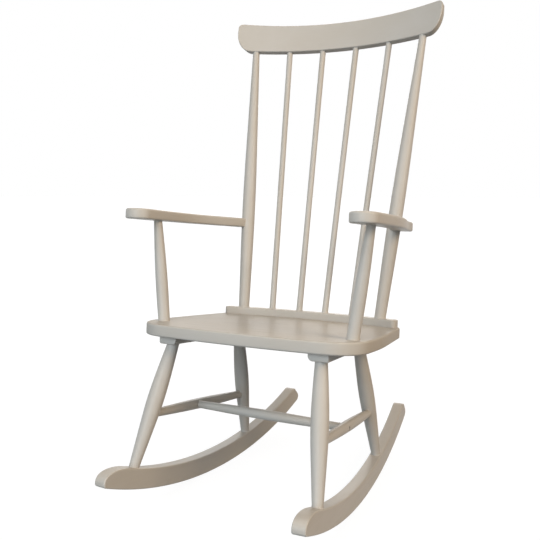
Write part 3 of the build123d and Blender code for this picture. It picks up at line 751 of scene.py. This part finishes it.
def crestPlace(x, height, depth):
    # y = front arc + (rear arc - front arc) * share of the thickness; then y and the height are
    # turned back by the lean about the lower edge
    c = crestRail
    thick = c["thickness"] / 2
    back, front = planArc(thick, c["radius"] + thick, x), planArc(-thick, c["radius"] - thick, x)
    y = front + (back - front) * -depth / c["thickness"]
    return np.stack([x, c["apexY"] + y * np.cos(crestLean) + height * np.sin(crestLean),
                     c["bottomZ"] - y * np.sin(crestLean) + height * np.cos(crestLean)], -1)


def armSides():
    # a round pad, then both long sides run through the waist to the tail beside the post
    a = arms
    pad, radii = np.array([a["padX"], a["padY"]]), (a["padRadius"], a["padRadius"])
    outerStart, innerStart = pad + (a["padRadius"], 0), pad - (a["padRadius"], 0)
    outerWaist = (a["waistX"] + a["waistWidth"] / 2, a["waistY"])
    innerWaist = (a["waistX"] - a["waistWidth"] / 2, a["waistY"])
    tailY = postAtArm[1] + a["tailReach"]
    outerEnd, innerEnd = (postAtArm[0] + a["tailWidth"], tailY), (postAtArm[0] - a["tailInset"], tailY)
    front = ellipseArc(pad, radii, -135, -45, 200)
    outer = splineThrough([outerStart, outerWaist, outerEnd], 900, (0, 1), (0, 1))
    inner = splineThrough([innerEnd, innerWaist, innerStart], 900, (0, -1), (0, -1))
    right = np.vstack([ellipseArc(pad, radii, -45, 0, 100)[:-1], outer])
    left = np.vstack([inner[:-1], ellipseArc(pad, radii, -180, -135, 100)])
    rear = straight(outerEnd, innerEnd, 300)
    corners = [0, a["tailRound"], a["tailInnerRound"], 0]
    front, *others = roundedSides([front, right, rear, left], corners)
    return [*others, front]


def battenFrame():
    # along the batten on the level, and to its inner side
    along = unit((rearTop - frontTop) * (1, 1, 0))
    return along, np.array([-along[1], along[0], 0])


def battenSurface():
    # the section's outline, carried along the batten; near an end the underside rises by
    # r - square root of (r squared - (r - distance to the end) squared), and the sides with it
    direction, sideways = battenFrame()
    half, deep, edge = battens["width"] / 2, battens["thickness"], battens["edgeRound"]
    corners = [(-half, 0), (-half, -deep), (half, -deep), (half, 0)]
    section = roundedSides([straight(corners[k], corners[(k + 1) % 4], 400) for k in range(4)],
                           [edge, battens["innerRound"], 0, 0])
    loop = np.vstack([spaced(side, count)[:-1] for side, count in zip(section, battens["sectionPoints"])])
    turn = np.linspace(0, np.pi / 2, battens["endRows"])
    nearEnd, rise = edge * (1 - np.cos(turn)), edge * (1 - np.sin(turn))
    long = np.linalg.norm(rearTop - frontTop) + battens["front"] + battens["rear"]
    body = np.linspace(nearEnd[-1], long - nearEnd[-1], battens["rows"])[1:-1]
    along = np.concatenate([nearEnd, body, long - nearEnd[::-1]])
    squash = 1 - np.interp(np.minimum(along, long - along), nearEnd, rise) / deep
    place = frontTop + (0, 0, deep) + (along - battens["front"])[:, None] * direction
    points = (place[:, None] + loop[None, :, :1] * sideways
              + loop[None, :, 1:] * squash[:, None, None] * np.array(upright))
    rows, columns = len(along), len(loop)
    ring = np.arange(columns)
    caps = [ring.tolist(), ((rows - 1) * columns + ring[::-1]).tolist()]
    return points.reshape(-1, 3), ringQuads(rows, columns).tolist() + caps


def battenPiece(name, node, side, holes):
    points, faces = battenSurface()
    mesh = meshOf(name, mirrored(points, side), facesOut(faces, side))
    origin, along, across = (mirrored(item, side) for item in (frontTop, *battenFrame()))
    makePiece(name, node, mesh, satinPaint, localAxes(origin, along, across), holes)


def rockerSides():
    # drawn flat, along the rocker and up: two arcs about one centre, a nose that runs on from the
    # upper one, and a tail cut back at its top
    r = rockers
    stretch = np.sqrt(1 + r["toe"] ** 2)
    middle, inner = r["centreY"] * stretch, r["radius"] - r["height"]

    def arcPoint(radius, along):
        return np.stack([along, r["centreZ"] - np.sqrt(radius ** 2 - (along - middle) ** 2)], -1)

    nose, tail = r["noseY"] * stretch, r["tailY"] * stretch
    tailTop = middle + inner * (tail - middle) / r["radius"] - r["tailSlope"]
    shoulder = nose + r["noseWidth"]
    highNose, lowNose = arcPoint(inner, shoulder), arcPoint(r["radius"], nose)
    lip = np.array([nose, lowNose[1] + r["height"] - r["noseHeight"]])
    slope = (shoulder - middle) / (r["centreZ"] - highNose[1])
    over, overSplit = splineThrough([highNose, lip], 300, (-1, -slope), r["lipSlope"]), 200
    bottom = arcPoint(r["radius"], np.linspace(nose, tail, 3000))
    end = straight(bottom[-1], arcPoint(inner, tailTop), 300)
    top = np.vstack([arcPoint(inner, np.linspace(tailTop, shoulder, 3000))[:-1], over[:overSplit]])
    front = np.vstack([over[overSplit - 1:], straight(lip, lowNose, 80)[1:]])
    return roundedSides([bottom, end, top, front], [r["tailCorner"], r["tailCorner"], 0, r["toeCorner"]])


def rockerPlace(along, height, depth):
    # x = spacing - toe * along + depth from the middle, y = along + toe * that depth, both shortened
    # by the toe's slant
    stretch = np.sqrt(1 + rockers["toe"] ** 2)
    out = depth + rockers["thickness"] / 2
    x = rockers["spacing"] - rockers["toe"] * along / stretch + out / stretch
    return np.stack([x, along / stretch + rockers["toe"] * out / stretch, height], -1)


def flatPlace(topZ):
    # z = top + depth, which is below 0
    return lambda x, y, depth: np.stack([x, y, topZ + depth], -1)


boardPiece("seatBoard", "seat", seatBoard, seatBoard["thickness"], seatSides(), flatPlace(0),
           polishedPaint, holes=screwHoles("rail"))
boardPiece("backRail", "back_rail", backRail, backRail["height"], railSides(),
           flatPlace(backRail["height"]), satinPaint)
boardPiece("crestRail", "crest_rail", crestRail, crestRail["thickness"], crestSides(), crestPlace,
           satinPaint)
for side, hand in hands:
    boardPiece(f"{hand}Arm", f"{hand}_arm", arms, arms["thickness"], armSides(),
               flatPlace(arms["underside"] + arms["thickness"]), satinPaint, side,
               screwHoles("arm", side))
    battenPiece(f"{hand}SeatBatten", f"{hand}_seat_batten", side, screwHoles("batten", side))
    boardPiece(f"{hand}Rocker", f"{hand}_rocker", rockers, rockers["thickness"], rockerSides(),
               rockerPlace, satinPaint, side)
print("boards made")

for kind in screws["lengths"]:
    screwsPiece(f"{kind}Screws", f"{kind}_screws", kind, (1,) if kind == "rail" else (1, -1))
print("screws made")


# Metres from here on. The floor's glow grows between nearReach and farReach, so that the chair's
# shadow shows and the floor runs out into white
studio = {"floor": 0.1, "floorHalf": 60, "floorRoughness": 0.9, "floorSheen": 0.1, "glowNear": 0.94,
          "glowFar": 1.0, "nearReach": 0.8, "farReach": 2.4, "ambient": (0.15, 0.148, 0.15, 1),
          "aim": (0, 0, 0.5)}
lights = {"window": {"at": (0.1, -3.4, 1.25), "size": 2.0, "power": 80, "colour": (0.79, 0.9, 1.0)},
          "lamp": {"at": (4.0, -1.05, 2.6), "size": 2.1, "power": 116, "colour": (1.0, 0.78, 0.55)},
          "ceiling": {"at": (0.2, -1.4, 3.2), "size": 2.0, "power": 27, "colour": (1.0, 0.88, 0.74)},
          "rear": {"at": (-1.6, 3.4, 1.9), "size": 2.2, "power": 50, "colour": (1.0, 0.97, 0.93)}}


def whiteForLens(tree):
    # 1 where the lens, a gloss or glass looks straight at it, else 0
    path = addNode(tree, "ShaderNodeLightPath")
    seen = path.outputs["Is Camera Ray"]
    for ray in ("Is Glossy Ray", "Is Transmission Ray"):
        either = addNode(tree, "ShaderNodeMath", operation="MAXIMUM")
        tree.links.new(seen, either.inputs[0])
        tree.links.new(path.outputs[ray], either.inputs[1])
        seen = either.outputs[0]
    return seen


def floorMaterial():
    # a grey surface that takes the chair's shadow, under a white glow that only shows
    material = bpy.data.materials.new("paleFloor")
    material.use_nodes = True
    tree = material.node_tree
    shader = tree.nodes["Principled BSDF"]
    shader.inputs["Base Color"].default_value = (studio["floor"],) * 3 + (1,)
    shader.inputs["Roughness"].default_value = studio["floorRoughness"]
    shader.inputs["Specular IOR Level"].default_value = studio["floorSheen"]
    shader.inputs["Emission Color"].default_value = (1, 1, 1, 1)
    coords = addNode(tree, "ShaderNodeTexCoord")
    distance = addNode(tree, "ShaderNodeVectorMath", operation="LENGTH")
    tree.links.new(coords.outputs["Object"], distance.inputs[0])
    glow = mapRange(tree, distance.outputs["Value"], (studio["nearReach"], studio["farReach"]),
                    (studio["glowNear"], studio["glowFar"]))
    shown = addNode(tree, "ShaderNodeMath", operation="MULTIPLY")
    tree.links.new(glow, shown.inputs[0])
    tree.links.new(whiteForLens(tree), shown.inputs[1])
    tree.links.new(shown.outputs[0], shader.inputs["Emission Strength"])
    return material


def flatSheet(name, half, material):
    mesh = bpy.data.meshes.new(name)
    corners = [(-half, -half, 0), (half, -half, 0), (half, half, 0), (-half, half, 0)]
    mesh.from_pydata(corners, [], [(0, 1, 2, 3)])
    mesh.materials.append(material)
    sheet = bpy.data.objects.new(name, mesh)
    bpy.context.scene.collection.objects.link(sheet)


def placeLight(name, light):
    # a square light turned to the aim
    data = bpy.data.lights.new(name, "AREA")
    data.energy, data.size, data.color = light["power"], light["size"], light["colour"]
    item = bpy.data.objects.new(name, data)
    bpy.context.scene.collection.objects.link(item)
    back = unit(np.subtract(light["at"], studio["aim"]))
    right = unit(np.cross((0, 0.01, 1), back))  # a little off Z, for a light straight above
    axes = np.stack([right, np.cross(back, right), back], 1)
    item.matrix_world = Matrix.LocRotScale(light["at"], Matrix(axes.tolist()), (1, 1, 1))


flatSheet("floor", studio["floorHalf"], floorMaterial())
for name, light in lights.items():
    placeLight(name, light)

world = bpy.data.worlds.new("studio")
bpy.context.scene.world = world
world.use_nodes = True
tree = world.node_tree
skyColour = addNode(tree, "ShaderNodeMix", data_type="RGBA")
skyColour.inputs["A"].default_value, skyColour.inputs["B"].default_value = studio["ambient"], (1, 1, 1, 1)
tree.links.new(whiteForLens(tree), skyColour.inputs["Factor"])
tree.links.new(skyColour.outputs["Result"], tree.nodes["Background"].inputs["Color"])
tree.nodes["Background"].inputs["Strength"].default_value = 1.0
print("studio made")

# Place in millimetres on the bench, angles in degrees, focal length and centre in pixels of a
# frame that is so many wide
camera = {"place": (686.6, -1251.6, 168.9), "yaw": -26.46, "pitch": -1.49, "roll": 2.3, "focal": 695.3,
          "centre": (13.9, -40.0), "frame": 540, "sensor": 36}


def placeCamera():
    # looks along the yaw and pitch from the bench, leaned back with the chair
    yaw, pitch, roll = (np.radians(camera[key]) for key in ("yaw", "pitch", "roll"))
    forward = np.array([np.sin(yaw) * np.cos(pitch), np.cos(yaw) * np.cos(pitch), -np.sin(pitch)])
    right = unit(np.cross(forward, upright))
    up = np.cross(right, forward)
    right, up = right * np.cos(roll) + up * np.sin(roll), up * np.cos(roll) - right * np.sin(roll)
    place = np.array(camera["place"])
    axes = [unit(onFloor(place + axis * 1000) - onFloor(place)) for axis in (right, up, -forward)]
    data = bpy.data.cameras.new("camera")
    data.sensor_width = camera["sensor"]
    data.lens = camera["focal"] / camera["frame"] * camera["sensor"]
    data.shift_x = -camera["centre"][0] / camera["frame"]
    data.shift_y = camera["centre"][1] / camera["frame"]
    item = bpy.data.objects.new("camera", data)
    bpy.context.scene.collection.objects.link(item)
    item.matrix_world = Matrix.LocRotScale(onFloor(place), Matrix(np.stack(axes, 1).tolist()), (1, 1, 1))
    bpy.context.scene.camera = item


placeCamera()
bpy.context.scene.view_settings.view_transform = "Standard"
print("scene ready")
